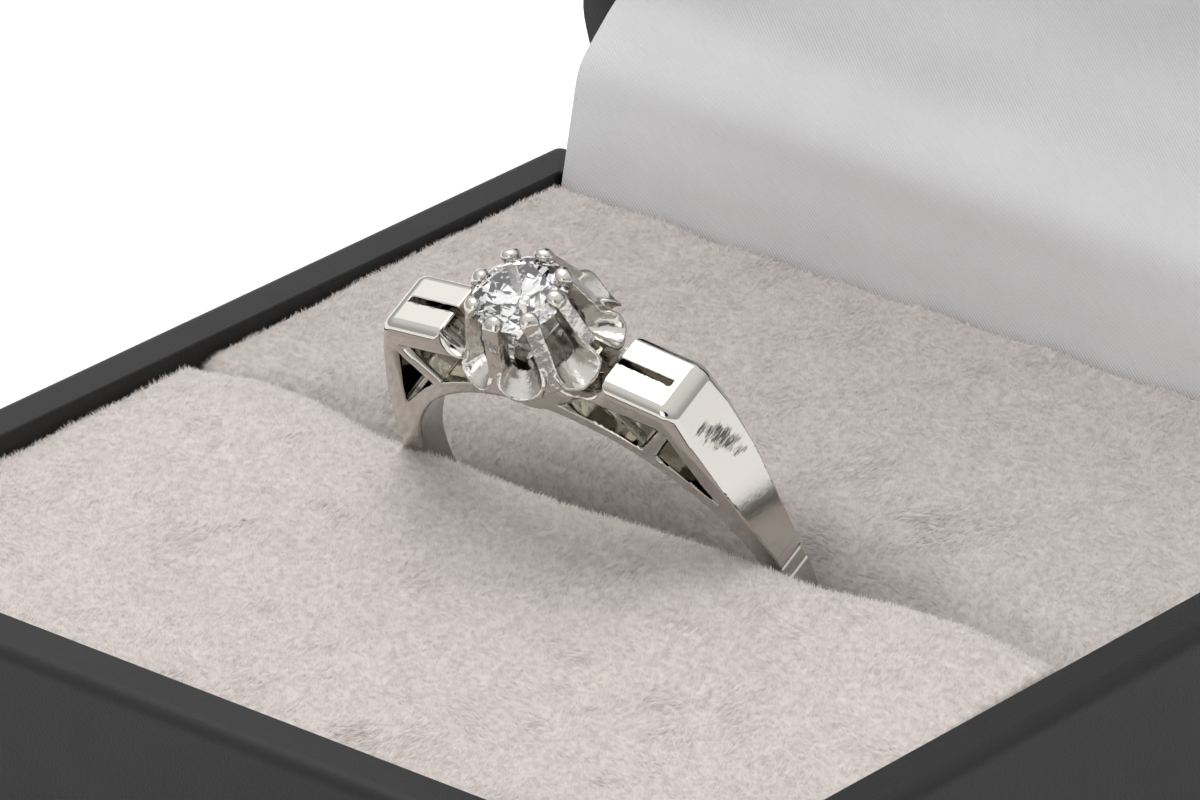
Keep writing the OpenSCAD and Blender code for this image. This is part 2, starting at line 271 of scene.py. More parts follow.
def ring_distance(p):
    """Signed distance in mm from the ring's metal, for points in the ring's frame."""
    x, y, z = p[:, 0], p[:, 1], p[:, 2]
    d = np.where(
        x >= 0,
        shoulder_side(np.abs(x), y, z, SHOULDERS[0]),
        shoulder_side(np.abs(x), y, z, SHOULDERS[1]),
    )
    near = (np.hypot(x, y) < HEAD_REACH) & (z > HEAD_LOW)
    if near.any():
        q = p[near]
        h = head(q[:, 0], q[:, 1], q[:, 2]) + HEAD_ROUGH * ripple(q, HEAD_GRAIN, 4)
        h = round_max(h, FINGER_R - np.hypot(q[:, 0], q[:, 2]), 0.05)
        d[near] = round_min(d[near], h, 0.06)
    for level in GROOVES:
        floor = SHANK_R - GROOVE_DEEP - np.hypot(x, z)
        groove = np.maximum(np.abs(z - level) - GROOVE_HALF, floor)
        groove = np.maximum(groove, -x)
        d = round_max(d, -groove, 0.02)
    return d


# Grid steps to a coarse block, and the distance in mm under which a block is sampled finely
COARSE, REACH = 4, 0.6
CORNERS = [(i, j, k) for i in (0, 1) for j in (0, 1) for k in (0, 1)]


def gradient(field, p, e=0.02):
    """The field's slope at the points, from values e mm to each side."""
    g = np.empty_like(p)
    for k in range(3):
        step = np.zeros(3)
        step[k] = e
        g[:, k] = field(p + step) - field(p - step)
    return g / (2 * e)


def spread(blocks):
    """A value per grid point from a value per coarse block."""
    for axis in range(3):
        blocks = np.repeat(blocks, COARSE, axis)
    return np.pad(blocks, ((0, 1),) * 3, mode="edge")


def sample(field, low, high, h):
    """The field on a grid of spacing h: its values near the surface, and its sign elsewhere."""
    count = np.ceil((np.array(high) - low) / (h * COARSE)).astype(int) * COARSE + 1
    blocks = (count - 1) // COARSE
    cells = np.stack(np.meshgrid(*[np.arange(b) for b in blocks], indexing="ij"), -1)
    centres = (cells.reshape(-1, 3) + 0.5) * COARSE
    value = field(low + centres * h).reshape(blocks)
    grid = spread(np.sign(value).astype(np.float32))
    close = spread(np.abs(value) < REACH)
    grid[close] = field(low + np.argwhere(close) * h)
    return grid


def crossings(grid, found):
    """For each found cell, in grid steps, the mean place where the surface cuts its edges."""
    summed = np.zeros((len(found), 3))
    weight = np.zeros(len(found))
    for a in CORNERS:
        for axis in range(3):
            if a[axis]:
                continue
            b = list(a)
            b[axis] = 1
            va = grid[tuple((found + a).T)]
            vb = grid[tuple((found + b).T)]
            cross = (va < 0) != (vb < 0)
            t = np.where(cross, va / np.where(cross, va - vb, 1), 0)
            q = np.array(a, float)[None, :] + t[:, None] * (np.array(b) - np.array(a))[None, :]
            summed[cross] += q[cross]
            weight[cross] += 1
    return found + summed / weight[:, None]


def cell_quads(inside, index):
    """A quad through the four cells round each grid edge that the surface cuts."""
    count = inside.shape
    quads = []
    for axis, (o1, o2) in enumerate([(1, 2), (2, 0), (0, 1)]):
        before = np.take(inside, range(count[axis] - 1), axis)
        after = np.take(inside, range(1, count[axis]), axis)
        a = np.argwhere(before != after)
        a = a[(a[:, o1] > 0) & (a[:, o2] > 0) & (a[:, o1] < count[o1] - 1) & (a[:, o2] < count[o2] - 1)]
        start = inside[tuple(a.T)]
        around_edge = []
        for d1, d2 in ((-1, -1), (0, -1), (0, 0), (-1, 0)):
            c = a.copy()
            c[:, o1] += d1
            c[:, o2] += d2
            around_edge.append(index[tuple(c.T)])
        around_edge = np.stack(around_edge, 1)
        around_edge[~start] = around_edge[~start][:, ::-1]
        quads.append(around_edge)
    return np.concatenate(quads)


def settle(field, points, h, rounds=4):
    """The points drawn onto the field's zero surface, in steps of half a grid step at most."""
    for _ in range(rounds):
        g = gradient(field, points)
        size = np.maximum((g * g).sum(1), 0.2)
        move = field(points)[:, None] * g / size[:, None]
        longest = np.linalg.norm(move, axis=1, keepdims=True)
        points = points - move * np.minimum(1, 0.5 * h / np.maximum(longest, 1e-9))
    return points


def surface_mesh(field, low, high, h):
    """Points, quads and normals of the zero surface of a distance field, on a grid of spacing h."""
    low = np.array(low, float)
    grid = sample(field, low, high, h)
    inside = grid < 0
    nx, ny, nz = [n - 1 for n in grid.shape]
    total = sum(inside[i : i + nx, j : j + ny, k : k + nz].astype(np.int8) for i, j, k in CORNERS)
    mixed = (total > 0) & (total < 8)
    found = np.argwhere(mixed)
    index = np.full(mixed.shape, -1, np.int64)
    index[mixed] = np.arange(len(found))
    points = settle(field, low + crossings(grid, found) * h, h)
    g = gradient(field, points, 0.03)
    normals = g / np.maximum(np.linalg.norm(g, axis=1, keepdims=True), 1e-9)
    return points, cell_quads(inside, index), normals


def add_object(name, data):
    """An object that shows the data, in the scene."""
    obj = bpy.data.objects.new(name, data)
    bpy.context.scene.collection.objects.link(obj)
    return obj


def new_object(name, points, faces, normals=None):
    """A smooth mesh object from points in metres in the row frame."""
    mesh = bpy.data.meshes.new(name)
    mesh.from_pydata(np.asarray(points).tolist(), [], [tuple(int(i) for i in f) for f in faces])
    mesh.validate()
    mesh.update()
    mesh.shade_smooth()
    if normals is not None:
        mesh.normals_split_custom_set_from_vertices([tuple(n) for n in normals])
    return add_object(name, mesh)


points, quads, normals = surface_mesh(ring_distance, RING_LOW, RING_HIGH, RING_GRID)
ring = new_object("ring", points * MM, quads, normals)
ring.matrix_world = RING_PLACE
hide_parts("ring_mount")
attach(ring, "base")


def turn_open(points, y0, z0):
    """Points in mm, or directions, turned about the line (y0, z0) as the lid is when it opens."""
    a = math.radians(-LID_OPEN)
    p = np.array(points, float)
    y = p[:, 1] - y0
    z = p[:, 2] - z0
    p[:, 1] = y0 + y * math.cos(a) - z * math.sin(a)
    p[:, 2] = z0 + y * math.sin(a) + z * math.cos(a)
    return p


def open_lid(points):
    """Points in mm of the shut lid, turned open about the hinge."""
    return turn_open(points, HINGE_Y, HINGE_Z)


# A tray's edge radii: under the bottom, at the rim outside and inside, at the floor inside
BOTTOM_R, RIM_R, LIP_R, FILLET_R = 0.5, 0.7, 0.15, 0.4
# How far in from the outline the bottom and the floor turn into one flat face
FLAT_INSET = 8
# Steps round a corner of the box, and the least radius of one
CORNER_STEPS, LEAST_R = 5, 0.3


def square_loop(inset, z):
    """A rounded square at height z, set in from the box's outline."""
    r = max(CORNER_R - inset, LEAST_R)
    c = BOX_W / 2 - inset - r
    loop = []
    for k, (sx, sy) in enumerate([(1, 1), (-1, 1), (-1, -1), (1, -1)]):
        for i in range(CORNER_STEPS + 1):
            a = math.radians(90 * k + 90 * i / CORNER_STEPS)
            loop.append((sx * c + r * math.cos(a), sy * c + r * math.sin(a), z))
    return loop


def arc(centre, r, start, end, steps):
    """Points (a, b) on an arc, angles in degrees."""
    return [
        (centre[0] + r * math.cos(math.radians(t)), centre[1] + r * math.sin(math.radians(t)))
        for t in np.linspace(start, end, steps)
    ]


def bands(n, rings):
    """Quads between rings of n points each that follow one another."""
    faces = []
    for k in range(rings - 1):
        for i in range(n):
            j = (i + 1) % n
            faces.append((k * n + i, k * n + j, k * n + n + j, k * n + n + i))
    return faces


def caps(n, rings):
    """The faces that close the first and the last ring."""
    return [tuple(range(n))[::-1], tuple(range(n * rings - n, n * rings))]


def tray(h):
    """Points and faces in mm of an open tray with rounded edges, standing on z = 0."""
    profile = [(FLAT_INSET, 0)] + arc((BOTTOM_R, BOTTOM_R), BOTTOM_R, 270, 180, 5)
    profile += arc((RIM_R, h - RIM_R), RIM_R, 180, 90, 7)
    profile += arc((WALL_T - LIP_R, h - LIP_R), LIP_R, 90, 0, 4)
    profile += arc((WALL_T + FILLET_R, PANEL_T + FILLET_R), FILLET_R, 180, 270, 4)
    profile += [(FLAT_INSET, PANEL_T)]
    points = []
    for inset, z in profile:
        points += square_loop(inset, z)
    n = len(points) // len(profile)
    return np.array(points), caps(n, len(profile)) + bands(n, len(profile))


def rod(x, length, r):
    """A cutter along the hinge axis."""
    n = 48
    points = []
    for end in (-length / 2, length / 2):
        for i in range(n):
            a = 2 * math.pi * i / n
            points.append((x + end, HINGE_Y + r * math.cos(a), HINGE_Z + r * math.sin(a)))
    return np.array(points), caps(n, 2) + bands(n, 2)


def prism(x0, x1, outline):
    """A cutter between x0 and x1 with the outline of (y, z) points, anticlockwise."""
    n = len(outline)
    points = [(x, y, z) for x in (x0, x1) for y, z in outline]
    return np.array(points), caps(n, 2) + bands(n, 2)


def carve(obj, cutters):
    """Cuts the cutters out of obj, rounds the new edges and keeps the flats flat."""
    for cutter in cutters:
        cut = obj.modifiers.new("cut", "BOOLEAN")
        cut.operation = "DIFFERENCE"
        cut.solver = "EXACT"
        cut.object = cutter
    edge = obj.modifiers.new("edge", "BEVEL")
    edge.width = LIP_R * MM
    edge.segments = 2
    edge.limit_method = "ANGLE"
    edge.angle_limit = math.radians(50)
    bpy.context.view_layer.update()
    mesh = bpy.data.meshes.new_from_object(obj.evaluated_get(bpy.context.evaluated_depsgraph_get()))
    obj.modifiers.clear()
    obj.data = mesh
    mesh.shade_smooth()
    mesh.set_sharp_from_angle(angle=math.radians(40))
    for cutter in cutters:
        bpy.data.objects.remove(cutter)
    flats = obj.modifiers.new("flats", "WEIGHTED_NORMAL")
    flats.keep_sharp = True


# The hinge: lengths of its barrels and the gap between them, its radii, and its mesh's spacing
LID_BARREL_L, BASE_BARREL_L, BARREL_GAP = 14.0, 9.0, 0.2
BARREL_R, BORE_R, NOTCH_R = 1.2, 0.6, 1.4
HINGE_GRID = 0.14
BASE_BARREL_X = LID_BARREL_L / 2 + BARREL_GAP + BASE_BARREL_L / 2
# The web that ties a barrel to its wall: how far it goes in from the axis, and its height
WEB_D, WEB_H = 1.6, 3.4
# The slanted relief at the lid's rear corners: its length along the rim, its height at the back
RELIEF_L, RELIEF_H = 6.6, 2.4


def relief(side):
    """The cutter for the relief at the shut lid's rear corner, left (side -1) or right (side 1)."""
    past = 1
    middle = side * (BOX_W / 2 - WALL_T / 2)
    front, back, low = BOX_W / 2 - RELIEF_L, BOX_W / 2 + past, BASE_H - past
    top = BASE_H + RELIEF_H * (1 + past / RELIEF_L)
    outline = [(front, low), (back, low), (back, top), (front, BASE_H)]
    return prism(middle - WALL_T / 2 - past, middle + WALL_T / 2 + past, outline)


def base_shell():
    """The lower box, with a notch in its rear rim for the lid's barrel."""
    points, faces = tray(BASE_H)
    obj = new_object("base_box", points * MM, faces)
    points, faces = rod(0, LID_BARREL_L + 2 * BARREL_GAP, NOTCH_R)
    carve(obj, [new_object("cutter", points * MM, faces)])
    return obj


def lid_shell():
    """The lid, open, with notches for the base's barrels and the reliefs at its rear corners."""
    points, faces = tray(LID_H - RIM_GAP)
    points[:, 2] = BASE_H + LID_H - points[:, 2]
    obj = new_object("lid_box", open_lid(points) * MM, [f[::-1] for f in faces])
    cutters = []
    for side in (-1, 1):
        notch = rod(side * BASE_BARREL_X, BASE_BARREL_L + 2 * BARREL_GAP, NOTCH_R)
        for points, faces in (notch, relief(side)):
            cutters.append(new_object("cutter", open_lid(points) * MM, faces))
    carve(obj, cutters)
    return obj


base_box = base_shell()
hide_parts("base_shell")
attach(base_box, "base")

lid_box = lid_shell()
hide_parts("lid_shell")
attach(lid_box, "lid")


def barrel_field(length, side):
    """A hinge barrel with its web and bore; side is -1 below the rim and 1 above."""
    low, high = (RIM_GAP, WEB_H) if side > 0 else (-WEB_H, 0.0)

    def field(p):
        r = np.hypot(p[:, 1], p[:, 2])
        ends = np.abs(p[:, 0]) - length / 2
        upright = np.abs(p[:, 2] - (low + high) / 2) - (high - low) / 2
        web = round_max(np.abs(p[:, 1] + WEB_D / 2) - WEB_D / 2, upright, 0.12)
        body = round_min(round_max(r - BARREL_R, ends, 0.12), round_max(web, ends, 0.12), 0.2)
        return round_max(body, BORE_R - r, 0.08)

    return field


def barrel(name, x, length, side):
    """A hinge barrel as a piece: the base's (side -1) or the lid's (side 1)."""
    margin, web_margin = 0.4, 0.5
    plain, web = BARREL_R + margin, WEB_H + web_margin
    low = (-length / 2 - margin, -WEB_D - web_margin, -web if side < 0 else -plain)
    high = (length / 2 + margin, plain, plain if side < 0 else web)
    points, quads, normals = surface_mesh(barrel_field(length, side), low, high, HINGE_GRID)
    points += (x, HINGE_Y, HINGE_Z)
    if side > 0:
        points = open_lid(points)
        normals = turn_open(normals, 0, 0)
    obj = new_object(name, points * MM, quads, normals)
    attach(obj, "lid" if side > 0 else "base")
    return obj


barrels = [
    barrel("base_barrel_left", -BASE_BARREL_X, BASE_BARREL_L, -1),
    barrel("base_barrel_right", BASE_BARREL_X, BASE_BARREL_L, -1),
    barrel("lid_barrel", 0, LID_BARREL_L, 1),
]


def waves(x, y, size, seed, count=24):
    """Smooth noise of about unit height and the given feature size in mm."""
    g = np.random.default_rng(seed)
    out = np.zeros(np.shape(x))
    for _ in range(count):
        a, f = g.uniform(0, 2 * math.pi), g.uniform(0.6, 1.5) * 2 * math.pi / size
        out += np.sin(f * (np.cos(a) * x + np.sin(a) * y) + g.uniform(0, 2 * math.pi))
    return out / math.sqrt(count / 2)


def soften(values, kernel):
    """The values smoothed by the kernel, with both ends held."""
    return np.convolve(np.pad(values, len(kernel) // 2, mode="edge"), kernel, "valid")


# Height of the nap, radius of the pads' edges, half a pad's length, the height of its bottom
PILE, EDGE_R = 0.28, 0.4
PAD_HALF, PAD_LOW = INNER - 0.05, PANEL_T + 0.3
# The pads' slot: half its width where shut, what the ring adds, and where and how far that fades
SLIT_SHUT, SLIT_MORE, SLIT_END, SLIT_RUN = 0.08, 0.87, 16.5, 6
# The near pad's crest: places along the slot, then heights above the rim. Below, it is smoothed
CREST = (
    [-26, -22, -20, -18, -15, -11.2, -7.9, -5.6, -1.4, 3.4, 7.1, 10.4, 12.3, 19.1, 23.2, 26],
    [-0.6, -0.4, 0.1, 0.5, 0.6, 0.5, 0.7, 0.5, 0.4, 0.76, 1.0, 0.95, 0.7, 1.02, 0.28, 0.1],
)
CREST_X = np.linspace(-26, 26, 521)
CREST_Z = soften(np.interp(CREST_X, *CREST), np.hanning(33)[1:-1] / 16)
# The far pad's crest over the rim, all along
FAR_CREST = -0.45
# Per side: height at the wall, width of the crest, far end, and the lip's roll across and down
PADS = {
    -1: dict(wall=-0.65, spread=7.0, far=-PAD_HALF, roll=1.6, deep=1.6),
    1: dict(wall=-0.05, spread=9.0, far=INNER - 0.75, roll=4.0, deep=2.8),
}
# The lips are tighter at the left end: where that changes, and by how much
TIGHT = (-21, -16, 0.35, 1)


def slot_y(z):
    """Where the slot's plane is at height z above the floor, in mm."""
    return RING_POS[1] + math.tan(math.radians(RING_LEAN)) * (RING_POS[2] - z)


def slot_half(x):
    """Half the slot's width at x: held open by the ring, closed away from it."""
    t = np.clip((SLIT_END - abs(x)) / SLIT_RUN, 0, 1)
    return SLIT_SHUT + SLIT_MORE * t * t * (3 - 2 * t)


def pad_section(x, side):
    """The closed (y, z) section of a pad at x, in mm: front (side -1) or back (side 1)."""
    form = PADS[side]
    wall, spread_y, far = form["wall"] - PILE, form["spread"], form["far"]
    crest = (np.interp(x, CREST_X, CREST_Z) if side < 0 else FAR_CREST) - PILE
    tight = float(ramp(x, *TIGHT))
    roll, deep = form["roll"] * tight, form["deep"] * tight
    shoulder = BASE_H + crest - deep
    lip = slot_y(shoulder) + side * slot_half(x) + side * roll
    points = [(slot_y(PAD_LOW) + side * 0.05, PAD_LOW)]
    for z in np.linspace(PAD_LOW + 2, shoulder, 12):
        open_share = np.clip((z - PAD_LOW) / 16, 0.05, 1)
        points.append((slot_y(z) + side * slot_half(x) * open_share, z))
    for degrees in np.linspace(8, 90, 12):
        a = math.radians(degrees)
        points.append((lip - side * roll * math.cos(a), shoulder + deep * math.sin(a)))
    ys = np.linspace(lip, far - side * EDGE_R, 48)[1:]
    g = np.exp(-(((ys - lip) / spread_y) ** 2))
    uneven = 0.07 * waves(x + 0 * ys, ys, 7, 11 + side) * (1 - g * 0.6)
    zs = BASE_H + wall + (crest - wall) * g + uneven
    points += list(zip(ys, zs))
    last = zs[-1]
    for degrees in np.linspace(75, 0, 5):
        a = math.radians(degrees)
        points.append((far - side * EDGE_R * (1 - math.cos(a)), last - EDGE_R * (1 - math.sin(a))))
    points += [(far, z) for z in np.linspace(last - 3, PAD_LOW, 6)]
    return round_end(np.array(points), x)


def round_end(section, x):
    """The section with its top lowered where x is in the rounded edge of a pad's end."""
    t = np.clip((np.abs(x) - (PAD_HALF - EDGE_R)) / EDGE_R, 0, 1)
    top = section[:, 1] > BASE_H - 4
    section[top, 1] -= EDGE_R * (1 - math.sqrt(max(1 - t * t, 0)))
    return section


def pad(name, side, node):
    """A padded block of the base as a piece: front (side -1) or back (side 1)."""
    rounded = EDGE_R * (1 - np.cos(np.linspace(0, math.pi / 2, 6)))
    xs = np.concatenate([
        -PAD_HALF + rounded[:-1],
        np.linspace(-PAD_HALF + EDGE_R, PAD_HALF - EDGE_R, 140),
        (PAD_HALF - rounded)[:-1][::-1],
    ])
    sections = [pad_section(x, side) for x in xs]
    n = len(sections[0])
    points = np.array([(x, y, z) for x, s in zip(xs, sections) for y, z in s])
    faces = bands(n, len(xs)) + caps(n, len(xs))
    if side > 0:
        faces = [f[::-1] for f in faces]
    obj = new_object(name, points * MM, faces)
    obj.data.set_sharp_from_angle(angle=math.radians(60))
    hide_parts(node)
    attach(obj, "base")
    return obj


pad_front = pad("front_cushion", -1, "pad_front")
pad_back = pad("back_cushion", 1, "pad_back")


def soup(name, triangles):
    """A mesh of loose triangles, given as an array of (n, 3, 3) in metres."""
    n = len(triangles)
    mesh = bpy.data.meshes.new(name)
    mesh.vertices.add(3 * n)
    mesh.vertices.foreach_set("co", triangles.reshape(-1).astype(np.float32))
    mesh.loops.add(3 * n)
    mesh.loops.foreach_set("vertex_index", np.arange(3 * n, dtype=np.int32))
    mesh.polygons.add(n)
    mesh.polygons.foreach_set("loop_start", np.arange(0, 3 * n, 3, dtype=np.int32))
    mesh.update(calc_edges=True)
    return add_object(name, mesh)


def triangles_of(mesh):
    """The mesh's triangles in mm, as an array of (n, 3, 3)."""
    mesh.calc_loop_triangles()
    index = np.empty(len(mesh.loop_triangles) * 3, np.int32)
    mesh.loop_triangles.foreach_get("vertices", index)
    co = np.empty(len(mesh.vertices) * 3)
    mesh.vertices.foreach_get("co", co)
    return co.reshape(-1, 3)[index.reshape(-1, 3)] / MM


def scatter(tri, count, g):
    """Random places on the upper faces of a cushion, thinner down its sides, with their normals."""
    cross = np.cross(tri[:, 1] - tri[:, 0], tri[:, 2] - tri[:, 0])
    area = np.linalg.norm(cross, axis=1)
    up = cross / np.maximum(area, 1e-12)[:, None]
    centre = tri.mean(1)
    keep = (centre[:, 2] > BASE_H - 3.2) & (up[:, 2] > -0.3) & (np.abs(centre[:, 0]) < INNER - 0.06)
    keep &= centre[:, 1] > -INNER + 0.06
    weight = area * keep * (0.35 + 0.65 * (centre[:, 2] > BASE_H - 1.6))
    pick = g.choice(len(tri), count, p=weight / weight.sum())
    a, b = g.random(count), g.random(count)
    flip = a + b > 1
    a[flip], b[flip] = 1 - a[flip], 1 - b[flip]
    t = tri[pick]
    places = t[:, 0] + a[:, None] * (t[:, 1] - t[:, 0]) + b[:, None] * (t[:, 2] - t[:, 0])
    return places, up[pick]


def brushed(p, normal, g):
    """The fibres' directions: brushed one way and another, with some upright before the slot."""
    count = len(p)
    turn = 0.35 * waves(p[:, 0], p[:, 1], 9, 5) + 0.3 * waves(p[:, 0], p[:, 1], 2.4, 6)
    turn = turn + g.normal(0, 0.3, count)
    flow = np.stack([np.cos(turn + 2.3), np.sin(turn + 2.3), 0 * turn], 1)
    rise = 0.42 + 0.1 * waves(p[:, 0], p[:, 1], 1.4, 8) + g.normal(0, 0.12, count)
    before_slot = slot_y(p[:, 2]) - p[:, 1]
    fuzz = (g.random(count) < 0.3) & (before_slot > 0.4) & (before_slot < 2.4)
    rise = np.where(fuzz, 1.5, np.clip(rise, 0.15, 1))
    flow -= normal * (flow * normal).sum(1)[:, None]
    way = normal * rise[:, None] + flow
    return way / np.linalg.norm(way, axis=1, keepdims=True)


# Half a fibre's width at its root
FIBRE_HALF = 0.016


def pile(name, cushion, count):
    """Short fibres over the top of a cushion, each one triangle, as a piece."""
    g = np.random.default_rng(len(name))
    roots, normal = scatter(triangles_of(cushion.data), count, g)
    way = brushed(roots, normal, g)
    length = PILE * g.uniform(0.7, 1.4, count)
    wide = np.cross(normal, way)
    wide *= (FIBRE_HALF / np.linalg.norm(wide, axis=1))[:, None]
    tips = roots + way * length[:, None]
    fibres = np.stack([roots + wide, roots - wide, tips], 1)
    inside = (np.abs(tips[:, 0]) < INNER - 0.02) & (tips[:, 1] > -INNER + 0.02)
    obj = soup(name, fibres[inside] * MM)
    shade = normal + 0.06 * g.normal(size=(count, 3))
    shade = np.repeat((shade / np.linalg.norm(shade, axis=1, keepdims=True))[inside], 3, axis=0)
    obj.data.normals_split_custom_set(shade.tolist())
    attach(obj, "base")
    return obj


pile_front = pile("front_pile", pad_front, 190000)
pile_back = pile("back_pile", pad_back, 150000)

# The satin's section as (y, height above the rim): up from behind the back pad, along the ramp
# over the hinge, and up the open lid
SATIN_RAMP = [
    (22.4, -4.0), (22.45, -1.5), (22.75, -0.4), (23.15, 1.3), (23.5, 2.7), (23.78, 4.1), (23.9, 4.68),
    (24.3, 5.02), (26.4, 6.87), (27.9, 7.7), (29.5, 8.6), (42.4, 16.8), (43.3, 18.4), (44.2, 28.0),
]
# How far the satin stays from the lid's front wall and rim, and from its panel
SATIN_IN, SATIN_OFF = 1.2, 1.0
# Half the satin's width
SATIN_HALF = 22.9
# Points that the section is smoothed over, out of SATIN_FINE
SATIN_SMOOTH, SATIN_FINE = 61, 1500
# Height of the folds, in mm, and their feature size
FOLD, FOLD_SIZE = 0.09, 8.5


def even(line, count):
    """The (y, z) line as that many evenly spaced points, with their places along it."""
    run = np.concatenate([[0], np.cumsum(np.linalg.norm(np.diff(line, axis=0), axis=1))])
    at = np.linspace(0, run[-1], count)
    return np.stack([np.interp(at, run, line[:, k]) for k in (0, 1)], 1), at


def satin_section():
    """The satin's section, evenly spaced, with the places along it."""
    front = -INNER + SATIN_IN
    panel = BASE_H + LID_H - PANEL_T - SATIN_OFF
    corner, rim = open_lid([(0, front, panel), (0, front, BASE_H + SATIN_IN)])
    knots = SATIN_RAMP + [
        (corner[1] - 0.15, corner[2] - BASE_H - 1.6),
        (corner[1] - 1.4, corner[2] - BASE_H - 0.2),
        (rim[1], rim[2] - BASE_H),
    ]
    line, _ = even(np.array(knots), SATIN_FINE)
    kernel = np.hanning(SATIN_SMOOTH + 2)[1:-1]
    kernel /= kernel.sum()
    return even(np.stack([soften(line[:, k], kernel) for k in (0, 1)], 1), 240)


def satin_sheet():
    """The lid's lining in one cloth: from behind the back pad over the hinge and round the lid."""
    line, at = satin_section()
    way = np.gradient(line, axis=0)
    way /= np.linalg.norm(way, axis=1, keepdims=True)
    out = np.stack([-way[:, 1], way[:, 0]], 1)
    xs = np.linspace(-SATIN_HALF, SATIN_HALF, 150)
    points = []
    for s, (y, z), (out_y, out_z) in zip(at, line, out):
        loose = np.clip((s - 4.5) / 3, 0, 1) * np.clip((at[-1] - s) / 3, 0, 1)
        fold = FOLD * waves(xs * 0.25, s + 0.04 * xs, FOLD_SIZE, 3) * loose
        fold = fold * np.clip((SATIN_HALF + 0.5 - np.abs(xs)) / 2.5, 0, 1)
        for x, f in zip(xs, fold):
            points.append((x, y + out_y * f, BASE_H + z + out_z * f))
    n = len(xs)
    faces = [
        (k * n + i, k * n + i + 1, k * n + n + i + 1, k * n + n + i)
        for k in range(len(at) - 1)
        for i in range(n - 1)
    ]
    return new_object("satin_lining", np.array(points) * MM, faces), at[-1]


satin, satin_l = satin_sheet()
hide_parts("lid_lining", "lining_apron")
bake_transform(satin)

# The stone: its radius, the top and bottom of its girdle, and its table as a share of its width
STONE_R, GIRDLE_TOP, GIRDLE_LOW, TABLE = 1.95, 13.35, 13.27, 0.57
# Slopes in degrees: crown mains, upper girdle facets, pavilion mains, lower girdle facets
CROWN, UPPER, PAVILION, LOWER = 34.5, 41, 41, 41.6
# Where the star facets end: the radius, and the height over the girdle's top
STAR_R, STAR_H = 1.63, 0.305


def facet(bm, angle, slope, r, z):
    """Takes off what is outside a facet that meets radius r at height z."""
    a = math.radians(angle)
    t = abs(math.atan(slope))
    up = -1 if slope < 0 else 1
    normal = Vector((math.sin(t) * math.cos(a), math.sin(t) * math.sin(a), up * math.cos(t)))
    point = Vector((r * math.cos(a), r * math.sin(a), z))
    out = bmesh.ops.bisect_plane(bm, geom=bm.verts[:] + bm.edges[:] + bm.faces[:], dist=1e-6,
                                 plane_co=point, plane_no=normal, clear_outer=True)
    edges = [e for e in out["geom_cut"] if isinstance(e, bmesh.types.BMEdge)]
    bmesh.ops.contextual_create(bm, geom=edges)


def brilliant():
    """A round brilliant of 57 facets and a girdle, in the ring's frame, cut plane by plane."""
    crown, upper, pavilion, lower = [math.tan(math.radians(k)) for k in (CROWN, UPPER, PAVILION, LOWER)]
    table_r = STONE_R * TABLE
    crown_h = (STONE_R - table_r) * crown
    star = (crown_h - STAR_H) / (STAR_R - table_r * math.cos(math.radians(22.5)))
    bm = bmesh.new()
    bmesh.ops.create_cone(bm, cap_ends=True, segments=64, radius1=STONE_R, radius2=STONE_R, depth=4,
                          matrix=Matrix.Translation((0, 0, GIRDLE_TOP - 0.6)))
    facet(bm, 0, 0.0, 0, GIRDLE_TOP + crown_h)
    for k in range(8):
        facet(bm, 45 * k, crown, STONE_R, GIRDLE_TOP)
        facet(bm, 45 * k, -pavilion, STONE_R, GIRDLE_LOW)
    for k in range(16):
        facet(bm, 22.5 * k + 11.25, upper, STONE_R, GIRDLE_TOP)
        facet(bm, 22.5 * k + 11.25, -lower, STONE_R, GIRDLE_LOW)
    for k in range(8):
        facet(bm, 45 * k + 22.5, star, STAR_R, GIRDLE_TOP + STAR_H)
    mesh = bpy.data.meshes.new("brilliant")
    bmesh.ops.recalc_face_normals(bm, faces=bm.faces[:])
    bm.to_mesh(mesh)
    bm.free()
    obj = add_object("brilliant", mesh)
    mesh.transform(Matrix.Scale(MM, 4) @ Matrix.Translation((HEAD_X, 0, 0)))
    mesh.shade_flat()
    obj.matrix_world = RING_PLACE
    return obj


stone = brilliant()
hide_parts("stone")
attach(stone, "base")


def material(name, **values):
    """A material with these values on its shader, with its node tree and the shader."""
    m = bpy.data.materials.new(name)
    m.use_nodes = True
    shader = m.node_tree.nodes["Principled BSDF"]
    for key, value in values.items():
        shader.inputs[key.replace("_", " ")].default_value = value
    return m, m.node_tree, shader


def dress(m, *objects):
    """Gives the objects this material alone."""
    for obj in objects:
        obj.data.materials.clear()
        obj.data.materials.append(m)


def noise(tree, size, detail=3.0, stretch=(1, 1, 1)):
    """Noise on the object's own coordinates, with features of about size in mm."""
    where = tree.nodes.new("ShaderNodeTexCoord")
    scale = tree.nodes.new("ShaderNodeMapping")
    scale.inputs["Scale"].default_value = [k / (size * MM) for k in stretch]
    texture = tree.nodes.new("ShaderNodeTexNoise")
    texture.inputs["Scale"].default_value = 1.0
    texture.inputs["Detail"].default_value = detail
    tree.links.new(where.outputs["Object"], scale.inputs["Vector"])
    tree.links.new(scale.outputs["Vector"], texture.inputs["Vector"])
    return texture


def colour_ramp(tree, value, stops):
    """The colour for a value, from (place, colour) stops."""
    node = tree.nodes.new("ShaderNodeValToRGB")
    elements = node.color_ramp.elements
    while len(elements) < len(stops):
        elements.new(0.5)
    for element, (place, colour) in zip(elements, stops):
        element.position = place
        element.color = (*colour, 1)
    tree.links.new(value, node.inputs["Fac"])
    return node.outputs["Color"]


def colours(tree, shader, texture, stops):
    """Base colour from the noise through a ramp of (place, colour) stops."""
    tree.links.new(colour_ramp(tree, texture.outputs["Fac"], stops), shader.inputs["Base Color"])


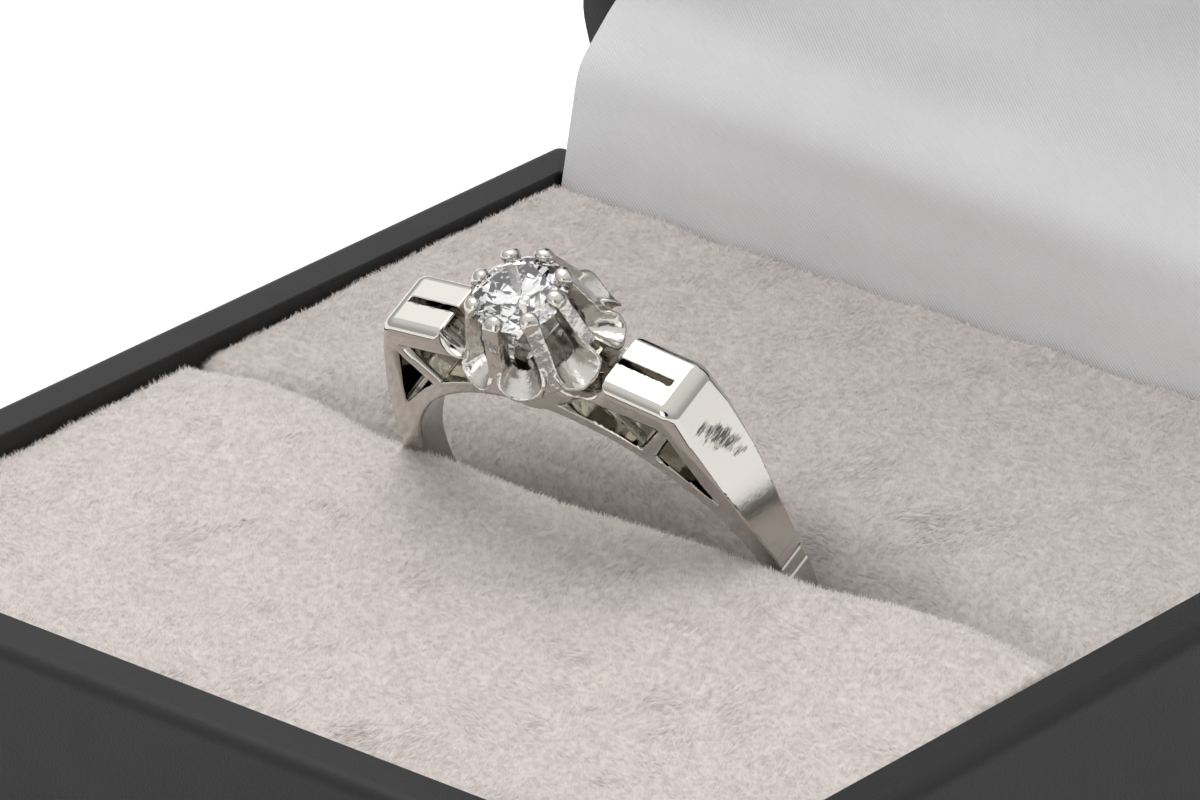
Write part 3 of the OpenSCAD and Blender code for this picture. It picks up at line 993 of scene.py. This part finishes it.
def map_range(tree, value, start, end, low, high):
    """A straight change from low at start to high at end: the node for it."""
    node = tree.nodes.new("ShaderNodeMapRange")
    node.inputs["From Min"].default_value = start
    node.inputs["From Max"].default_value = end
    node.inputs["To Min"].default_value = low
    node.inputs["To Max"].default_value = high
    tree.links.new(value, node.inputs["Value"])
    return node


def fade(tree, value, start, end, low, high):
    """A smooth change from low at start to high at end."""
    node = map_range(tree, value, start, end, low, high)
    node.interpolation_type = "SMOOTHSTEP"
    return node.outputs["Result"]


def calculated(tree, operation, *values):
    """The result of a math node on the values, each a number or an output of a node."""
    node = tree.nodes.new("ShaderNodeMath")
    node.operation = operation
    for socket, value in zip(node.inputs, values):
        if isinstance(value, bpy.types.NodeSocket):
            tree.links.new(value, socket)
        else:
            socket.default_value = value
    return node.outputs["Value"]


def around(tree, centre, size, turn):
    """Distance from centre in half axes of an ellipsoid, sizes in mm, turned about X by degrees."""
    where = tree.nodes.new("ShaderNodeTexCoord")
    place = tree.nodes.new("ShaderNodeMapping")
    place.vector_type = "TEXTURE"
    place.inputs["Location"].default_value = [k * MM for k in centre]
    place.inputs["Rotation"].default_value = (math.radians(turn), 0, 0)
    place.inputs["Scale"].default_value = [k * MM for k in size]
    away = tree.nodes.new("ShaderNodeVectorMath")
    away.operation = "LENGTH"
    tree.links.new(where.outputs["Object"], place.inputs["Vector"])
    tree.links.new(place.outputs["Vector"], away.inputs[0])
    return away.outputs["Value"]


def bump(tree, shader, texture, depth, strength=None):
    """Relief of the given depth in mm, over what is there, all over or where strength says."""
    node = tree.nodes.new("ShaderNodeBump")
    node.inputs["Distance"].default_value = depth * MM
    tree.links.new(texture.outputs["Fac"], node.inputs["Height"])
    if strength:
        tree.links.new(strength, node.inputs["Strength"])
    if shader.inputs["Normal"].is_linked:
        tree.links.new(shader.inputs["Normal"].links[0].from_socket, node.inputs["Normal"])
    tree.links.new(node.outputs["Normal"], shader.inputs["Normal"])


# The second colour is the scratches' painted dark reflection
GOLD, DARK_REFLECTION_GOLD = (0.56, 0.54, 0.50, 1), (0.13, 0.13, 0.125, 1)
# Distances in mm from the head's middle: where the setting's finish ends, where the wear starts
SETTING_END, WEAR_START = (3.4, 4.2), (9.8, 10.8)
# The scratched place on the right shoulder: centre, half axes in mm, and its slant
SCRATCHED = ((7.8, 0.1, 7.95), (1.2, 2.1, 0.75), -60)


def scratch(tree, shader):
    """Wear on the right shoulder: fine scratches along a slanting band across its outer face, their colour
    darkened as painted dark reflection.
    """
    ragged = noise(tree, 0.7, 3, (1, 1, 3)).outputs["Fac"]
    edge = calculated(tree, "MULTIPLY_ADD", ragged, 1.6, around(tree, *SCRATCHED))
    worn = fade(tree, edge, 1.1, 1.6, 1.0, 0.0)
    scratches = noise(tree, 0.6, 3, (1, 1, 7))
    bump(tree, shader, scratches, 0.05, worn)
    # The scratches' base colour is darkened towards the second gold: painted dark reflection
    painted_reflection_mask = calculated(tree, "MULTIPLY", worn, fade(tree, scratches.outputs["Fac"], 0.4, 0.55, 0.0, 1.0))
    dark_reflection_mix = tree.nodes.new("ShaderNodeMix")
    dark_reflection_mix.data_type = "RGBA"
    dark_reflection_mix.inputs["A"].default_value = GOLD
    dark_reflection_mix.inputs["B"].default_value = DARK_REFLECTION_GOLD
    tree.links.new(painted_reflection_mask, dark_reflection_mix.inputs["Factor"])
    tree.links.new(dark_reflection_mix.outputs["Result"], shader.inputs["Base Color"])


def gold_look():
    """White gold: a rougher setting, polished shoulders, and a shank worn softer lower down."""
    m, tree, shader = material("white_gold", Base_Color=GOLD, Metallic=1.0)
    from_head = around(tree, (HEAD_X, 0, 12), (1, 1, 1), 0)
    setting = fade(tree, from_head, *SETTING_END, 0.15, 0.05)
    shank = fade(tree, from_head, *WEAR_START, 0.0, 0.06)
    tree.links.new(calculated(tree, "ADD", setting, shank), shader.inputs["Roughness"])
    bump(tree, shader, noise(tree, 0.25, 5), 0.0015)
    # The setting is left as cast and filed: a coarser grain than on the polished shoulders
    bump(tree, shader, noise(tree, 0.3, 4), 0.03, fade(tree, from_head, *SETTING_END, 1.0, 0.0))
    scratch(tree, shader)
    return m


def diamond_look():
    """Clear diamond."""
    return material("diamond", Base_Color=(1, 1, 1, 1), Roughness=0.0, IOR=2.42, Transmission_Weight=1.0)[0]


def leather_look():
    """The box's near-black leatherette, with a fine grain."""
    m, tree, shader = material("leatherette", Roughness=0.5, Specular_IOR_Level=0.35)
    stops = [(0.3, (0.0085, 0.0087, 0.0091)), (0.7, (0.0115, 0.0117, 0.0121))]
    colours(tree, shader, noise(tree, 3), stops)
    bump(tree, shader, noise(tree, 0.12, 4), 0.02)
    return m


def paint_slot_shade(tree, shader):
    """Painted shade in the slot where the ring holds it open: the colour is darker near the ring."""
    away = around(tree, RING_POS, (23, 7.5, 30), RING_LEAN)
    product = tree.nodes.new("ShaderNodeVectorMath")
    product.operation = "SCALE"
    tree.links.new(shader.inputs["Base Color"].links[0].from_socket, product.inputs[0])
    # Down to 0.4 of the colour near the ring: painted shade
    tree.links.new(fade(tree, away, 0.25, 1.0, 0.4, 1.0), product.inputs["Scale"])
    tree.links.new(product.outputs["Vector"], shader.inputs["Base Color"])


def velour_look(name, level, with_slot_shade):
    """The pads' velour: level times its full lightness, a level under one being painted shade, and with
    painted shade in the slot if asked.
    """
    m, tree, shader = material(name, Roughness=0.95)
    dark, light = (0.575, 0.52, 0.49), (0.70, 0.64, 0.605)
    stops = [(0.35, [level * c for c in dark]), (0.6, [level * c for c in light])]
    colours(tree, shader, noise(tree, 0.3, 4), stops)
    if with_slot_shade:
        paint_slot_shade(tree, shader)
    return m


def satin_look():
    """The lining's pale satin, with a fine diagonal weave."""
    m, tree, shader = material("satin", Roughness=0.42)
    colours(tree, shader, noise(tree, 6), [(0.3, (0.61, 0.603, 0.613)), (0.7, (0.65, 0.643, 0.653))])
    weave = tree.nodes.new("ShaderNodeTexWave")
    weave.wave_type = "BANDS"
    weave.bands_direction = "DIAGONAL"
    weave.inputs["Scale"].default_value = 1 / (0.32 * MM)
    weave.inputs["Distortion"].default_value = 1.5
    where = tree.nodes.new("ShaderNodeTexCoord")
    tree.links.new(where.outputs["Object"], weave.inputs["Vector"])
    bump(tree, shader, weave, 0.012)
    return m


def steel_look():
    """The hinge pin's steel, unevenly polished."""
    m, tree, shader = material("pin_steel", Base_Color=(0.55, 0.55, 0.56, 1), Metallic=1.0)
    uneven = map_range(tree, noise(tree, 0.3).outputs["Fac"], 0.0, 1.0, 0.25, 0.4)
    tree.links.new(uneven.outputs["Result"], shader.inputs["Roughness"])
    return m


dress(gold_look(), ring)
dress(diamond_look(), stone)
dress(leather_look(), base_box, lid_box, *barrels)
dress(velour_look("velour", 1.0, False), pad_front, pile_front)
# The back pad is the same velour painted 0.86 times as light, as painted shade, and with painted shade in
# its slot
dress(velour_look("velour_painted_shade", 0.86, True), pad_back, pile_back)
dress(satin_look(), satin)
dress(steel_look(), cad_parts["hinge_pin"])

# The photograph's camera, worked out from the box's edges and the ring in it: its own right,
# down and ahead, and its place in metres
CAM_RIGHT = Vector((0.7559, 0.6546, -0.0144)).normalized()
CAM_DOWN = Vector((0.2644, -0.3253, -0.9079)).normalized()
CAM_AHEAD = Vector((-0.5989, 0.6825, -0.4189)).normalized()
CAM_PLACE = Vector((0.23635, -0.2704, 0.1699 + BASE_H * MM))


def photo_camera():
    """The camera at the photograph's place, with a focal length of 10,000 of its pixels."""
    data = bpy.data.cameras.new("camera")
    data.sensor_width = 36.0
    data.lens = 300.0
    data.clip_start = 0.05
    data.clip_end = 5.0
    obj = add_object("camera", data)
    place = Matrix.Identity(4)
    for row in range(3):
        place[row][0] = CAM_RIGHT[row]
        place[row][1] = -CAM_DOWN[row]
        place[row][2] = -CAM_AHEAD[row]
    place.translation = CAM_PLACE
    obj.matrix_world = place
    bpy.context.scene.camera = obj


# The studio's brightness: (height, level) stops, and the level in the camera's opening
TENT = [(0.0, 0.55), (0.3, 0.6), (0.6, 0.95), (0.9, 1.1)]
OPENING_LEVEL = 0.03
# Half angles in degrees between which the camera's opening goes dark
OPENING_OUT, OPENING_IN = 14, 12.5


def studio_world():
    """A soft tent: grey at the horizon, brighter above, with the camera's dark opening in it."""
    world = bpy.data.worlds.new("studio")
    world.use_nodes = True
    tree = world.node_tree
    where = tree.nodes.new("ShaderNodeTexCoord")
    split = tree.nodes.new("ShaderNodeSeparateXYZ")
    tree.links.new(where.outputs["Generated"], split.inputs["Vector"])
    height = colour_ramp(tree, split.outputs["Z"], [(place, (level,) * 3) for place, level in TENT])
    to_camera = tree.nodes.new("ShaderNodeVectorMath")
    to_camera.operation = "DOT_PRODUCT"
    to_camera.inputs[1].default_value = -CAM_AHEAD
    tree.links.new(where.outputs["Generated"], to_camera.inputs[0])
    wide, narrow = math.cos(math.radians(OPENING_OUT)), math.cos(math.radians(OPENING_IN))
    opening = map_range(tree, to_camera.outputs["Value"], wide, narrow, 1.0, OPENING_LEVEL)
    back = tree.nodes["Background"]
    tree.links.new(height, back.inputs["Color"])
    tree.links.new(opening.outputs["Result"], back.inputs["Strength"])
    bpy.context.scene.world = world


# The place inside the base that the lights are aimed at, in metres
AIM = Vector((0, 0, 0.02))


def soft_light(name, at, size, radiance):
    """A square soft box of that size and brightness."""
    data = bpy.data.lights.new(name, "AREA")
    data.shape = "SQUARE"
    data.size = size
    data.energy = radiance * math.pi * size * size
    obj = add_object(name, data)
    obj.location = at
    obj.rotation_euler = (AIM - Vector(at)).to_track_quat("-Z", "Y").to_euler()


def floor_look():
    """The white floor, glowing more away from the box, so that it ends in white."""
    m, tree, shader = material("floor", Base_Color=(0.8, 0.8, 0.8, 1), Roughness=0.7)
    shader.inputs["Emission Color"].default_value = (1, 1, 1, 1)
    reach = tree.nodes.new("ShaderNodeVectorMath")
    reach.operation = "LENGTH"
    where = tree.nodes.new("ShaderNodeTexCoord")
    tree.links.new(where.outputs["Object"], reach.inputs[0])
    glow = map_range(tree, reach.outputs["Value"], 0.04, 0.12, 0.05, 0.42)
    tree.links.new(glow.outputs["Result"], shader.inputs["Emission Strength"])
    return m


photo_camera()
studio_world()
bpy.context.scene.view_settings.view_transform = "Standard"
soft_light("overhead", (-0.13, 0.02, 0.62), 0.4, 2.4)
soft_light("side", (-0.5, 0.1, 0.5), 0.3, 0.5)
soft_light("front", (0.3, -0.8, 0.3), 0.45, 1.4)

floor = new_object("floor", [(-3, -3, 0), (3, -3, 0), (3, 3, 0), (-3, 3, 0)], [(0, 1, 2, 3)])
dress(floor_look(), floor)
